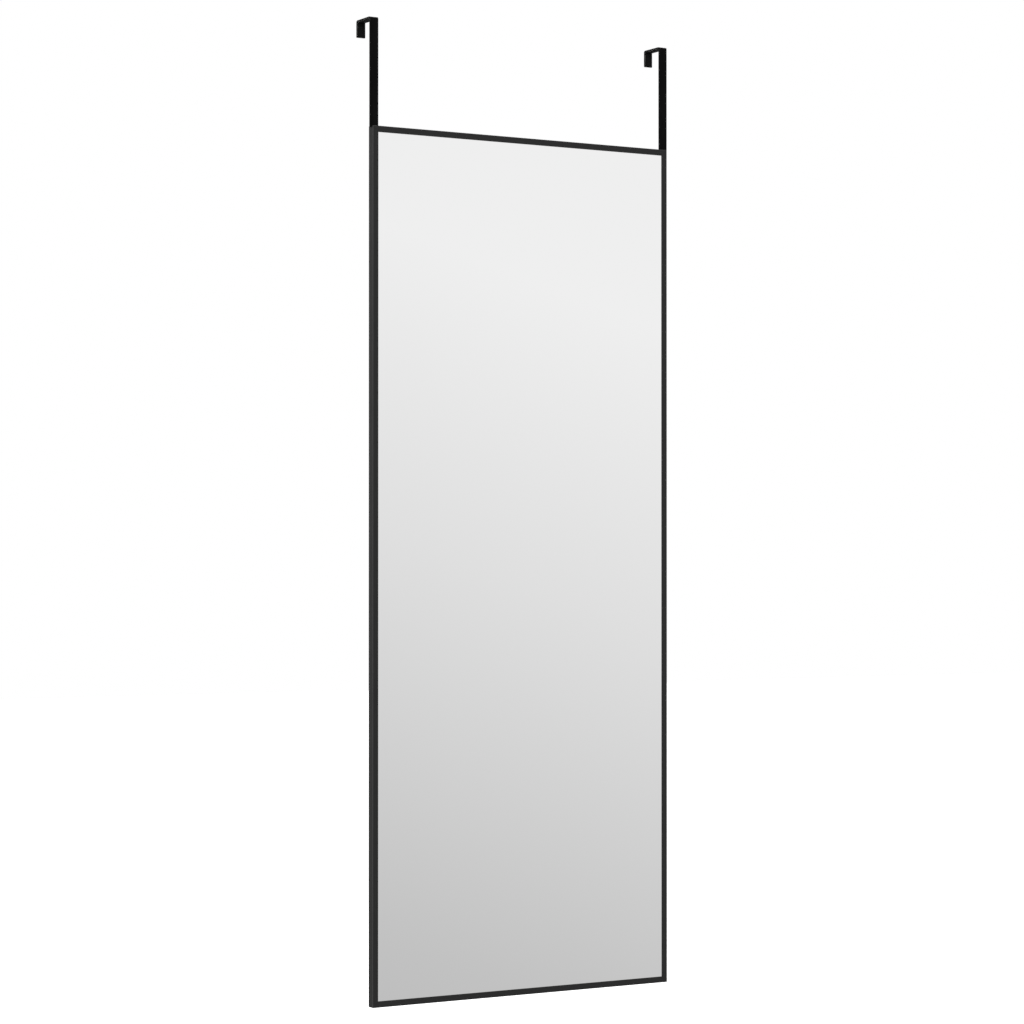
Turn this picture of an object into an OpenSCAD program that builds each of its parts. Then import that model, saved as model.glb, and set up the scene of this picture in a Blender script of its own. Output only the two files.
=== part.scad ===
// Over the door mirror: a sheet of mirror glass in a slim mitred frame, hung from two
// flat steel hooks. The mirror faces -Y. Z = 0 is the top edge of the door and Y = 0 is
// the face of the door that the bumpers touch. X = 0 is midway between the hooks.

/* [Frame] */
// Width over the side rails
frame_w = 480; // [300:5:700]
// Height over the top and bottom rails
frame_h = 1200; // [600:10:1600]
// Width of the front lip, as seen round the glass
face_w = 8.5; // [6:0.5:10]
// Thickness of the front lip
lip_t = 1; // [0.8:0.1:1.5]
// Thickness of the outer wall
wall_t = 1.3; // [1:0.1:1.8]
// Thickness of the web behind the backing board
web_t = 0.8; // [0.6:0.1:1.5]
// Thickness of the inner wall of the rear channel
inner_wall_t = 1; // [0.8:0.1:1.5]
// Thickness of the two lips that close the rear channel
rear_lip_t = 1; // [0.8:0.1:1.5]
// Width of the slot between the rear lips
rear_slot_w = 6; // [5.6:0.1:6.4]
// Radius of the outer long edges
edge_r = 0.5; // [0.2:0.1:0.7]
// Radius of the lip edge beside the glass
lip_edge_r = 0.4; // [0.2:0.1:0.6]
// Radius of the frame's four corners, seen from the front
corner_r = 1; // [0.4:0.1:1.2]

/* [Glass and back] */
// Thickness of the mirror glass
glass_t = 3; // [2:0.5:4]
// Thickness of the safety film
film_t = 0.15; // [0.1:0.05:0.3]
// Thickness of the backing board
board_t = 2; // [1.5:0.5:4]
// Clearance round the edges of the glass and board
panel_play = 0.5; // [0.2:0.1:1]
// Clearance behind the backing board
stack_play = 0.1; // [0.05:0.05:0.3]
// Radius of the corners of the glass, film and board
panel_corner_r = 1.5; // [0.5:0.5:4]

/* [Hooks] */
// Width of the flat steel
strap_w = 13; // [12:0.5:16]
// Thickness of the flat steel
strap_t = 2; // [1.5:0.1:2.5]
// Overhang of the strap past the side of the frame
strap_proud = 2.6; // [1:0.1:3]
// Length of the heel that laps over the side of the frame below the overhang
heel_drop = 2; // [1:0.5:4]
// Clearance between the heel and the side of the frame
heel_play = 0.2; // [0.1:0.05:0.4]
// Height of the door's top edge above the frame
hook_rise = 146; // [60:1:260]
// Gap between the strap and the lip of the hook
hook_gap = 36; // [30:0.5:50]
// Length of the lip, from the top of the hook to its end
lip_drop = 23.5; // [18:0.5:45]
// Inside radius of the bends
bend_r = 1; // [0.5:0.5:4]
// Radius of the corners at the end of the lip
lip_corner_r = 1; // [0.5:0.5:3]
// Chamfer at the end of the tongue that enters the frame
tongue_chamfer = 1.5; // [0.5:0.5:3]
// Length of the tongue past its last screw
tongue_end = 7; // [5:1:12]
// Clearance at each edge of the tongue
tongue_play = 0.2; // [0.1:0.05:0.3]
// Clearance round the tongue in the slot of the top rail
slot_play = 0.1; // [0.05:0.05:0.15]
// Clearance round the tongue in the notch of the backing board
notch_play = 0.5; // [0.2:0.1:0.8]

/* [Hook screws] */
// Thread diameter of the screws that hold the tongue
hook_screw_d = 3; // [2.5:0.5:3]
// Diameter of their heads
hook_screw_head_d = 5.5; // [4.5:0.5:5.5]
// Height of their heads
hook_screw_head_t = 2; // [1.5:0.1:2.5]
// Width across the flats of their hexagon socket
hook_socket_af = 2; // [1.5:0.1:2.5]
// Depth of their hexagon socket
hook_socket_depth = 1.2; // [0.8:0.1:1.4]
// Round of the rim of their heads
hook_screw_rim_r = 0.3; // [0.1:0.1:0.5]
// Clearance of their threads in the web of the side rail
web_hole_play = 0.2; // [0.1:0.05:0.4]
// Distance of their tips from the safety film
screw_tip_gap = 0.1; // [0.05:0.05:0.3]
// Distance from the top of the frame to the first of them
hook_screw_first = 48; // [45:1:60]
// Distance from the first to the second
hook_screw_step = 12; // [8:1:20]

/* [Corner joints] */
// Length of each arm of a corner key
key_arm = 40; // [36:1:42]
// Thickness of a corner key
key_t = 2; // [1.5:0.1:3]
// Thickness of the backing plate that its screws press on
plate_t = 2; // [1.5:0.1:2.5]
// Clearance at each edge of a corner key
key_play = 0.15; // [0.1:0.05:0.3]
// Gap between a corner key and its backing plate
clamp_gap = 0.25; // [0.15:0.05:0.5]
// Radius of the corners at the ends of the keys and plates
key_corner_r = 1; // [0.5:0.5:2]
// Chamfer on the outer corner of the keys and plates
key_chamfer = 2; // [1:0.5:3]
// Diameter of the grub screws
screw_d = 4; // [3:0.5:4]
// Length of the grub screws
screw_len = 2.9; // [2.5:0.1:3.2]
// Chamfer at both ends of the grub screws
screw_chamfer = 0.35; // [0.2:0.05:0.5]
// Width across the flats of the hexagon socket
socket_af = 2; // [1.5:0.1:2]
// Depth of the hexagon socket
socket_depth = 1.3; // [0.8:0.1:1.6]
// Radial clearance of a grub screw in its hole
thread_play = 0.05; // [0.02:0.01:0.1]
// Distance from the frame's corner to the first screw
screw_first = 18; // [16:1:20]
// Distance from the first screw to the second
screw_step = 14; // [10:1:15]

/* [Pads and bumpers] */
// Thickness of the soft pads inside the hooks
pad_t = 1; // [0.5:0.1:2]
// Margin between a pad and the edges of the hook
pad_margin = 0.6; // [0.3:0.1:1.5]
// Thickness of the bumpers
bumper_t = 1; // [0.8:0.1:4]
// Diameter of the bumpers
bumper_d = 10; // [8:0.5:11]
// Distance from a bumper to the end of its rail
bumper_end = 70; // [55:1:200]
// Radius of the rim of a bumper
bumper_rim_r = 0.4; // [0.2:0.1:0.6]

/* [Hidden] */
$fn = 48;
cut = 1; // how far a cutting shape runs past a face
LEFT = -1;
RIGHT = 1;
TOP = 1;
BOTTOM = -1;

// Across the rail, u counts inward from the outer face and v backward from the front.
channel_w = strap_w - strap_proud - wall_t + tongue_play;
channel_mid_u = wall_t + channel_w / 2;
body_w = wall_t + channel_w + inner_wall_t;
glass_v = lip_t;
film_v = glass_v + glass_t;
board_v = film_v + film_t;
strap_v = board_v;
web_v = board_v + max(board_t, strap_t) + stack_play;
channel_v = web_v + web_t;
key_v = channel_v + plate_t + clamp_gap;
rear_lip_v = key_v + key_t;
frame_d = rear_lip_v + rear_lip_t;

// Places in the mirror's own frame
front_y = -(frame_d + bumper_t);
back_y = -bumper_t;
frame_top = -hook_rise;
frame_mid = frame_top - frame_h / 2;
strap_y = front_y + strap_v;
strap_back_y = strap_y + strap_t;
hook_lip_y = strap_back_y + hook_gap;
hook_top = pad_t + strap_t;
hook_lip_end = hook_top - lip_drop;
strap_outer_x = frame_w / 2 + strap_proud;
strap_inner_x = strap_outer_x - strap_w;
tongue_outer_x = frame_w / 2 - wall_t - tongue_play;
tongue_mid_x = (strap_inner_x + tongue_outer_x) / 2;
tongue_len = hook_screw_first + hook_screw_step + tongue_end;
key_w = channel_w - 2 * key_play;
key_inset = wall_t + key_play;
panel_w = frame_w - 2 * (wall_t + panel_play);
panel_h = frame_h - 2 * (wall_t + panel_play);
screw_r = screw_d / 2;
hole_r = screw_r + thread_play;
hook_screw_r = hook_screw_d / 2;
hook_screw_tip_v = film_v + film_t + screw_tip_gap;

// What a round of radius r takes off a square corner that points to the origin
module corner_tool(r) {
    difference() {
        translate([-cut, -cut]) square(r + cut);
        translate([r, r]) circle(r);
    }
}

module rounded_rect(w, h, r) {
    difference() {
        square([w, h]);
        corner_tool(r);
        translate([w, 0]) mirror([1, 0]) corner_tool(r);
        translate([0, h]) mirror([0, 1]) corner_tool(r);
        translate([w, h]) rotate(180) corner_tool(r);
    }
}

// A shape drawn in X and Z, given a thickness t from y backward
module upright_plate(y, t) {
    translate([0, y + t, 0]) rotate([90, 0, 0]) linear_extrude(t) children();
}

// Moves what is drawn for the upper right corner of the frame to the named corner
module at_corner(side, end) {
    translate([0, 0, frame_mid]) mirror([side == LEFT ? 1 : 0, 0, 0])
        mirror([0, 0, end == BOTTOM ? 1 : 0]) children();
}

// ---- Rails ----

module rail_section() {
    difference() {
        square([body_w, frame_d]);
        translate([face_w, -cut]) square([body_w, lip_t + 2 * cut]);
        translate([wall_t, glass_v]) square([body_w, web_v - glass_v]);
        translate([wall_t, channel_v]) square([channel_w, rear_lip_v - channel_v]);
        translate([channel_mid_u - rear_slot_w / 2, rear_lip_v - cut])
            square([rear_slot_w, rear_lip_t + 2 * cut]);
        corner_tool(edge_r);
        translate([0, frame_d]) mirror([0, 1]) corner_tool(edge_r);
        translate([body_w, frame_d]) rotate(180) corner_tool(edge_r);
        translate([face_w, 0]) mirror([1, 0]) corner_tool(lip_edge_r);
    }
}

// The outline of a mitred rail from the front: its outer edge on the left, span long
module mitre_outline(span) {
    difference() {
        polygon([[0, -span / 2], [body_w, body_w - span / 2],
            [body_w, span / 2 - body_w], [0, span / 2]]);
        translate([0, -span / 2]) corner_tool(corner_r);
        translate([0, span / 2]) mirror([0, 1]) corner_tool(corner_r);
    }
}

// A mitred rail that stands span long at the left of a frame that is across wide
module mitred_rail(span, across) {
    translate([-across / 2, front_y, 0]) intersection() {
        translate([0, 0, -span / 2]) linear_extrude(span) rail_section();
        upright_plate(-cut, frame_d + 2 * cut) mitre_outline(span);
    }
}

// The slot in the top rail that the tongue of one hook enters by
module tongue_slot() {
    translate([strap_inner_x - slot_play, strap_y - slot_play, frame_top - wall_t - cut])
        cube([tongue_outer_x - strap_inner_x + 2 * slot_play, strap_t + 2 * slot_play,
            wall_t + 2 * cut]);
}

// Places the children, which point along +Y from the frame's front, at each screw of the
// right hook
module at_hook_screws() {
    for (step = [0, 1])
        translate([tongue_mid_x, front_y, frame_top - hook_screw_first - step * hook_screw_step])
            rotate([-90, 0, 0]) children();
}

// The right rail, with the holes for the screws of the right hook through its web
module side_rail() {
    color("#303030") difference() {
        translate([0, 0, frame_mid]) mirror([1, 0, 0]) mitred_rail(frame_h, frame_w);
        at_hook_screws() translate([0, 0, web_v - stack_play / 2])
            cylinder(h = web_t + stack_play, r = hook_screw_r + web_hole_play);
    }
}

module left_rail() {
    mirror([1, 0, 0]) side_rail();
}

module right_rail() {
    side_rail();
}

module top_rail() {
    color("#303030") difference() {
        translate([0, 0, frame_mid]) rotate([0, 90, 0]) mitred_rail(frame_w, frame_h);
        tongue_slot();
        mirror([1, 0, 0]) tongue_slot();
    }
}

module bottom_rail() {
    color("#303030") translate([0, 0, frame_mid]) rotate([0, -90, 0])
        mitred_rail(frame_w, frame_h);
}

// ---- Glass and back ----

module panel(v, t) {
    upright_plate(front_y + v, t) translate([-panel_w / 2, frame_mid - panel_h / 2])
        rounded_rect(panel_w, panel_h, panel_corner_r);
}

module mirror_glass() {
    color("#dfe3e5") panel(glass_v, glass_t);
}

module safety_film() {
    color("#b9bdc0") panel(film_v, film_t);
}

// The notch that makes room for the tongue at the board's upper right corner
module board_notch() {
    notch_x = strap_inner_x - notch_play;
    notch_z = frame_top - tongue_len - notch_play;
    translate([notch_x, front_y + board_v - cut, notch_z])
        cube([panel_w / 2, board_t + 2 * cut, tongue_len + notch_play]);
}

module backing_board() {
    color("#8a6a4a") difference() {
        panel(board_v, board_t);
        board_notch();
        mirror([1, 0, 0]) board_notch();
    }
}

// ---- Hooks ----

// An upright with two rounded upper corners, standing on z = low
module arch(low, high, width, r) {
    translate([0, low]) square([width, high - low - r]);
    translate([r, low]) square([width - 2 * r, high - low]);
    translate([r, high - r]) circle(r);
    translate([width - r, high - r]) circle(r);
}

// The bent steel from the side: strap, bridge over the door, and lip
module hook_section() {
    difference() {
        translate([strap_y, 0])
            arch(frame_top, hook_top, hook_gap + 2 * strap_t, bend_r + strap_t);
        translate([strap_back_y, -cut])
            arch(frame_top, hook_top - strap_t + cut, hook_gap, bend_r);
        translate([hook_lip_y - cut, frame_top - cut])
            square([strap_t + 2 * cut, hook_lip_end - frame_top + cut]);
    }
}

module tongue_outline() {
    polygon([[strap_inner_x, frame_top + cut], [tongue_outer_x, frame_top + cut],
        [tongue_outer_x, frame_top - tongue_len + tongue_chamfer],
        [tongue_outer_x - tongue_chamfer, frame_top - tongue_len],
        [strap_inner_x + tongue_chamfer, frame_top - tongue_len],
        [strap_inner_x, frame_top - tongue_len + tongue_chamfer]]);
}

module lip_corners() {
    upright_plate(hook_lip_y - cut, strap_t + 2 * cut) {
        translate([strap_inner_x, hook_lip_end]) corner_tool(lip_corner_r);
        translate([strap_outer_x, hook_lip_end]) mirror([1, 0]) corner_tool(lip_corner_r);
    }
}

// The part of the strap that hangs past the top of the frame, beside its right rail
module heel_outline() {
    translate([frame_w / 2 + heel_play, frame_top - heel_drop])
        square([strap_proud - heel_play, heel_drop + cut]);
}

// The hook at the right of the frame
module hook() {
    color("#141414") {
        upright_plate(strap_y, strap_t) heel_outline();
        difference() {
            translate([strap_inner_x, 0, 0]) rotate([90, 0, 90]) linear_extrude(strap_w)
                hook_section();
            lip_corners();
        }
        difference() {
            upright_plate(strap_y, strap_t) tongue_outline();
            at_hook_screws() translate([0, 0, strap_v - cut])
                cylinder(h = strap_t + 2 * cut, r = hook_screw_r + thread_play);
        }
    }
}

module hook_right() {
    hook();
}

module hook_left() {
    mirror([1, 0, 0]) hook();
}

module bridge_pad() {
    color("#262626")
        translate([strap_inner_x + pad_margin, strap_back_y + bend_r + pad_margin, 0])
            cube([strap_w - 2 * pad_margin, hook_gap - 2 * (bend_r + pad_margin), pad_t]);
}

module bridge_pad_right() {
    bridge_pad();
}

module bridge_pad_left() {
    mirror([1, 0, 0]) bridge_pad();
}

// The pad stands on the lip's door side, clear of the bend and of the rounded corners
module lip_pad() {
    pad_low = hook_lip_end + lip_corner_r;
    pad_high = hook_top - strap_t - bend_r - pad_margin;
    color("#262626")
        translate([strap_inner_x + pad_margin, hook_lip_y - pad_t, pad_low])
            cube([strap_w - 2 * pad_margin, pad_t, pad_high - pad_low]);
}

module lip_pad_right() {
    lip_pad();
}

module lip_pad_left() {
    mirror([1, 0, 0]) lip_pad();
}

// ---- Corner joints, drawn for the upper right corner about the frame's middle ----

// One arm of an L plate, hanging down from the plate's outer corner
module key_arm_outline() {
    arm_len = key_arm - key_inset;
    translate([-key_w, -arm_len]) difference() {
        square([key_w, arm_len]);
        corner_tool(key_corner_r);
        translate([key_w, 0]) mirror([1, 0]) corner_tool(key_corner_r);
    }
}

// An L plate in the rear channel, with its outer corner cut off
module key_outline() {
    translate([frame_w / 2 - key_inset, frame_h / 2 - key_inset]) difference() {
        union() {
            key_arm_outline();
            mirror([1, -1]) key_arm_outline();
        }
        rotate(45) translate([-key_chamfer / sqrt(2), -key_arm])
            square([key_arm, 2 * key_arm]);
    }
}

// Places the children, which point along +Y, at each of the four screws of a corner
module at_screws() {
    for (step = [0, 1]) {
        along = screw_first + step * screw_step;
        translate([frame_w / 2 - channel_mid_u, 0, frame_h / 2 - along]) children();
        translate([frame_w / 2 - along, 0, frame_h / 2 - channel_mid_u]) children();
    }
}

module corner_key(side, end) {
    color("#b0b4b6") at_corner(side, end) difference() {
        upright_plate(front_y + key_v, key_t) key_outline();
        at_screws() translate([0, front_y + key_v - cut, 0]) rotate([-90, 0, 0])
            cylinder(h = key_t + 2 * cut, r = hole_r);
    }
}

module corner_key_top_left() {
    corner_key(LEFT, TOP);
}

module corner_key_top_right() {
    corner_key(RIGHT, TOP);
}

module corner_key_bottom_left() {
    corner_key(LEFT, BOTTOM);
}

module corner_key_bottom_right() {
    corner_key(RIGHT, BOTTOM);
}

// The L plate under a key, which spreads the pressure of the screws over the webs
module backing_plate(side, end) {
    color("#9ca0a2") at_corner(side, end)
        upright_plate(front_y + channel_v, plate_t) key_outline();
}

module backing_plate_top_left() {
    backing_plate(LEFT, TOP);
}

module backing_plate_top_right() {
    backing_plate(RIGHT, TOP);
}

module backing_plate_bottom_left() {
    backing_plate(LEFT, BOTTOM);
}

module backing_plate_bottom_right() {
    backing_plate(RIGHT, BOTTOM);
}

// A grub screw along +Y, with its tip at y = 0 and its hexagon socket at the back
module grub_screw() {
    rotate([-90, 0, 0]) difference() {
        rotate_extrude() polygon([[0, 0], [screw_r - screw_chamfer, 0],
            [screw_r, screw_chamfer], [screw_r, screw_len - screw_chamfer],
            [screw_r - screw_chamfer, screw_len], [0, screw_len]]);
        translate([0, 0, screw_len - socket_depth])
            cylinder(h = socket_depth + cut, r = socket_af / sqrt(3), $fn = 6);
    }
}

module grub_screws(side, end) {
    color("#3c3e40") at_corner(side, end) at_screws()
        translate([0, front_y + channel_v + plate_t, 0]) grub_screw();
}

module grub_screws_top_left() {
    grub_screws(LEFT, TOP);
}

module grub_screws_top_right() {
    grub_screws(RIGHT, TOP);
}

module grub_screws_bottom_left() {
    grub_screws(LEFT, BOTTOM);
}

module grub_screws_bottom_right() {
    grub_screws(RIGHT, BOTTOM);
}

// ---- Hook screws, from the rear channel through the web into the tongue ----

// The head's profile, from the plane that lies on the web
module screw_head_half() {
    head_r = hook_screw_head_d / 2;
    intersection() {
        square([head_r, hook_screw_head_t]);
        union() {
            square([head_r, hook_screw_head_t - hook_screw_rim_r]);
            square([head_r - hook_screw_rim_r, hook_screw_head_t]);
            translate([head_r - hook_screw_rim_r, hook_screw_head_t - hook_screw_rim_r])
                circle(hook_screw_rim_r);
        }
    }
}

module hook_screw() {
    socket_v = channel_v + hook_screw_head_t - hook_socket_depth;
    difference() {
        union() {
            translate([0, 0, channel_v]) rotate_extrude() screw_head_half();
            translate([0, 0, hook_screw_tip_v])
                cylinder(h = channel_v - hook_screw_tip_v + cut / 2, r = hook_screw_r);
        }
        translate([0, 0, socket_v])
            cylinder(h = hook_socket_depth + cut, r = hook_socket_af / sqrt(3), $fn = 6);
    }
}

module hook_screws() {
    color("#3c3e40") at_hook_screws() hook_screw();
}

module hook_screws_left() {
    mirror([1, 0, 0]) hook_screws();
}

module hook_screws_right() {
    hook_screws();
}

// ---- Bumpers, stuck across the slot at the back of the side rails ----

module bumper(side, end) {
    bumper_r = bumper_d / 2;
    color("#1c1c1c") at_corner(side, end)
        translate([frame_w / 2 - channel_mid_u, back_y, frame_h / 2 - bumper_end])
            rotate([-90, 0, 0]) rotate_extrude() intersection() {
                square([bumper_r, bumper_t]);
                union() {
                    square([bumper_r, bumper_t - bumper_rim_r]);
                    square([bumper_r - bumper_rim_r, bumper_t]);
                    translate([bumper_r - bumper_rim_r, bumper_t - bumper_rim_r])
                        circle(bumper_rim_r);
                }
            }
}

module bumper_top_left() {
    bumper(LEFT, TOP);
}

module bumper_top_right() {
    bumper(RIGHT, TOP);
}

module bumper_bottom_left() {
    bumper(LEFT, BOTTOM);
}

module bumper_bottom_right() {
    bumper(RIGHT, BOTTOM);
}

left_rail();
right_rail();
top_rail();
bottom_rail();
mirror_glass();
safety_film();
backing_board();
hook_left();
hook_right();
bridge_pad_left();
bridge_pad_right();
lip_pad_left();
lip_pad_right();
corner_key_top_left();
corner_key_top_right();
corner_key_bottom_left();
corner_key_bottom_right();
backing_plate_top_left();
backing_plate_top_right();
backing_plate_bottom_left();
backing_plate_bottom_right();
grub_screws_top_left();
grub_screws_top_right();
grub_screws_bottom_left();
grub_screws_bottom_right();
hook_screws_left();
hook_screws_right();
bumper_top_left();
bumper_top_right();
bumper_bottom_left();
bumper_bottom_right();
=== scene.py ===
import math

import bpy
from mathutils import Matrix, Vector


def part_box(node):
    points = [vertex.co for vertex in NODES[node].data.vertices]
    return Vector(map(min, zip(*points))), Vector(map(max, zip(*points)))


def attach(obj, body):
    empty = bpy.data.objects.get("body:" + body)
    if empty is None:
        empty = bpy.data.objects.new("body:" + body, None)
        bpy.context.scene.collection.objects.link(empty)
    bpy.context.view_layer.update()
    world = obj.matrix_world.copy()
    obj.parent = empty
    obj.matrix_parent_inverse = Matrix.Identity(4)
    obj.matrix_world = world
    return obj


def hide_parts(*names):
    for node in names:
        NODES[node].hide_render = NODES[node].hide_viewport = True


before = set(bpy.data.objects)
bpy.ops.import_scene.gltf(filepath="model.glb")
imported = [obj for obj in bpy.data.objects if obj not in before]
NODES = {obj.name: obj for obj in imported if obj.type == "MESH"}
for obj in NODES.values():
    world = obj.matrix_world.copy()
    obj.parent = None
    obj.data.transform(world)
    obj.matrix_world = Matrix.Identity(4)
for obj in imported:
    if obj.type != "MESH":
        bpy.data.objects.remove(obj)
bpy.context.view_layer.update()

# Over the door mirror: glass in a slim mitred aluminium frame, hung from two bent steel
# hooks. All lengths are in metres. The mirror faces -Y and the door is on the +Y side.

MM = 0.001

FRAME_LOW = Vector((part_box("left_rail")[0].x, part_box("left_rail")[0].y,
                    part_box("bottom_rail")[0].z))
FRAME_HIGH = Vector((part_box("right_rail")[1].x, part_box("left_rail")[1].y,
                     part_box("top_rail")[1].z))
FRAME_MID = (FRAME_LOW + FRAME_HIGH) / 2
HALF_WIDTH = (FRAME_HIGH.x - FRAME_LOW.x) / 2
HALF_HEIGHT = (FRAME_HIGH.z - FRAME_LOW.z) / 2
CORNERS = ("top_left", "top_right", "bottom_left", "bottom_right")
SIDES = ("left", "right")

# The photograph's viewpoint
CAMERA_BEFORE = 3.5110  # in front of the frame's front faces
CAMERA_LEFT = 2.1068  # left of the frame's middle
CAMERA_ABOVE = 0.6138  # above the frame's lower edge
CAMERA_TURN = math.radians(30.725)
CAMERA_TILT = math.radians(0.461)  # upward
CAMERA_LENS = 102.76
CAMERA_SENSOR = 36.0
CAMERA_SHIFT = 0.020

# The studio
FLOOR_DROP = 0.35  # the floor lies this far below the frame
FLOOR_SPAN = 30.0
FLOOR_TONE = 0.9
FLOOR_LIFT = 0.5  # light that brings the unshaded floor up to white for the camera
# What the mirror shows at each height of its view: the pale floor, the darker foot of the
# backdrop, and the backdrop that grows lighter upward
STUDIO_STOPS = ((-0.75, 0.780), (-0.42, 0.620), (-0.23, 0.500), (-0.18, 0.505),
                (-0.148, 0.536), (-0.008, 0.738), (0.095, 0.862))
STUDIO_ASIDE = 0.42  # how much the light also grows towards the right
STUDIO_ASIDE_REACH = 0.06  # and how far to each side it does
MIRROR_TONE = 0.93
# Each softbox: name, place from the frame's middle, side and power
SOFTBOXES = (("key_softbox", (-1.7, -2.3, 2.4), 1.4, 42.0),
             ("rear_softbox", (1.8, 2.6, 1.9), 1.6, 34.0))

# Points nearer than this are one point
WELD = 0.002 * MM

# Hooks
HOOK_ARRIS = 0.3 * MM  # radius that the powder coat leaves on the strap's edges

# Pads: a foam block on double sided tape
TAPE_T = 0.13 * MM
TAPE_EDGE = 0.03 * MM
FOAM_EDGE = 0.16 * MM
FOAM_CROWN = 0.14 * MM  # how far the foam's rim lies below the middle of its face
SLAB_CUTS = 7  # rows of points across each face

# Screws, which are plain cylinders in the CAD. A thread's fade is the length over which it
# runs out at each end, and its rings are the rows of points along the screw.
M4_THREAD = {"crest": 1.97 * MM, "pitch": 0.7 * MM, "depth": 0.30 * MM,
             "fade": 0.35 * MM, "rings": 34}
M3_THREAD = {"crest": 1.48 * MM, "pitch": 0.5 * MM, "depth": 0.25 * MM,
             "fade": 0.25 * MM, "rings": 30}
THREAD_STEEPNESS = 1.25  # leaves a fifth of the pitch flat at the thread's root
SCREW_SIDES = 48
GRUB_RADIUS = 2.0 * MM  # of the CAD's cylinder
GRUB_STEP = 14.0 * MM  # between the two grub screws in one arm of a corner key
HEAD_RADIUS = 2.75 * MM
HEAD_HEIGHT = 2.0 * MM
HEAD_EDGE = 0.3 * MM
KNURL_SIDES = 96
KNURL_DEPTH = 0.025  # share of the head's radius
SOCKET_FLATS = 2.0 * MM  # across the hexagon
GRUB_SOCKET_DEPTH = 1.3 * MM
HEAD_SOCKET_DEPTH = 1.2 * MM

# Bumpers, in shares of their radius and height
BUMPER_SIDES = 64
BUMPER_BASE = 0.16  # height of the base
BUMPER_BASE_INSET = 0.06  # how far the base lies inside the rim
BUMPER_RIM = 0.42  # height that the rolled rim takes up
# Each ring of the dished top: its width in radii and its fall in heights
BUMPER_DISH = ((0.16, 0.0), (0.05, 0.08), (0.06, 0.12), (0.12, 0.08), (0.20, 0.03))


# ---- Small helpers for objects ----

def select_only(piece):
    bpy.ops.object.select_all(action="DESELECT")
    piece.select_set(True)
    bpy.context.view_layer.objects.active = piece


def edit_all(piece):
    """Enters edit mode with the whole mesh selected."""
    select_only(piece)
    bpy.ops.object.mode_set(mode="EDIT")
    bpy.ops.mesh.select_all(action="SELECT")


def leave_edit():
    bpy.ops.object.mode_set(mode="OBJECT")


def edit_some(piece, kind, wanted):
    """Enters edit mode with only the faces or edges selected for which wanted(it) holds."""
    edit_all(piece)
    bpy.ops.mesh.select_mode(type=kind)
    bpy.ops.mesh.select_all(action="DESELECT")
    leave_edit()
    for element in (piece.data.polygons if kind == "FACE" else piece.data.edges):
        element.select = wanted(element)
    bpy.ops.object.mode_set(mode="EDIT")


def apply_place(piece):
    """Puts the piece's place into its mesh, with its object at the origin."""
    select_only(piece)
    bpy.ops.object.transform_apply(location=True, rotation=True, scale=True)


def apply_modifiers(piece):
    select_only(piece)
    for modifier in list(piece.modifiers):
        bpy.ops.object.modifier_apply(modifier=modifier.name)


def outward_normals(piece):
    edit_all(piece)
    bpy.ops.mesh.remove_doubles(threshold=WELD)
    bpy.ops.mesh.normals_make_consistent(inside=False)
    leave_edit()


def smooth_shade(piece, degrees=35):
    select_only(piece)
    bpy.ops.object.shade_smooth_by_angle(angle=math.radians(degrees))


def bevel_edges(piece, width, segments=3, degrees=40, finish_index=-1):
    """Rounds the sharp edges. The new faces get their own finish where an index is given."""
    bevel = piece.modifiers.new("edge_round", "BEVEL")
    bevel.width = width
    bevel.segments = segments
    bevel.limit_method = "ANGLE"
    bevel.angle_limit = math.radians(degrees)
    bevel.use_clamp_overlap = True
    bevel.material = finish_index
    apply_modifiers(piece)


def add_cylinder(middle, radius, length, sides):
    """A closed cylinder that lies along Y."""
    bpy.ops.object.select_all(action="DESELECT")
    bpy.ops.mesh.primitive_cylinder_add(
        vertices=sides, radius=radius, depth=length, end_fill_type="NGON",
        location=middle, rotation=(math.radians(-90), 0, 0))
    cylinder = bpy.context.object
    apply_place(cylinder)
    return cylinder


def along(length):
    """The step of this length along +Y."""
    return Vector((0, length, 0))


def turn_of(place):
    """The angle about the Y axis, in turns."""
    return math.atan2(place.z, place.x) / (2 * math.pi)


def reshape_wall(piece, base, wall_from, scale_at):
    """Scales the points that lie wall_from or more from the Y axis through base.

    scale_at(place, reach) gives the scale, from a point's place and its distance."""
    for vertex in piece.data.vertices:
        place = vertex.co - base
        reach = math.hypot(place.x, place.z)
        if reach < wall_from:
            continue
        scale = scale_at(place, reach)
        vertex.co.x = base.x + place.x * scale
        vertex.co.z = base.z + place.z * scale


def copy_of(piece, name, shift):
    twin = bpy.data.objects.new(name, piece.data.copy())
    bpy.context.scene.collection.objects.link(twin)
    twin.data.transform(Matrix.Translation(shift))
    return twin


def join_pieces(pieces, name):
    bpy.ops.object.select_all(action="DESELECT")
    for piece in pieces:
        piece.select_set(True)
    bpy.context.view_layer.objects.active = pieces[0]
    bpy.ops.object.join()
    pieces[0].name = name
    return pieces[0]


def finish_with(piece, *materials):
    piece.data.materials.clear()
    for material in materials:
        piece.data.materials.append(material)


def dress(piece, material):
    """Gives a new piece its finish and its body."""
    finish_with(piece, material)
    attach(piece, "root")


def paint_node(name, material):
    """Gives a CAD node, which keeps its own mesh, its finish."""
    finish_with(NODES[name], material)


# ---- Small helpers for node trees ----

def add_node(tree, kind, **settings):
    made = tree.nodes.new(kind)
    for key, value in settings.items():
        setattr(made, key, value)
    return made


def feed(tree, target, source):
    """Links a socket, or sets a plain value, on an input socket."""
    if isinstance(source, bpy.types.NodeSocket):
        tree.links.new(source, target)
    else:
        target.default_value = source


def math_node(tree, operation, first, second=None):
    made = add_node(tree, "ShaderNodeMath", operation=operation)
    for socket, source in zip(made.inputs, (first, second)):
        if source is not None:
            feed(tree, socket, source)
    return made.outputs[0]


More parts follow.
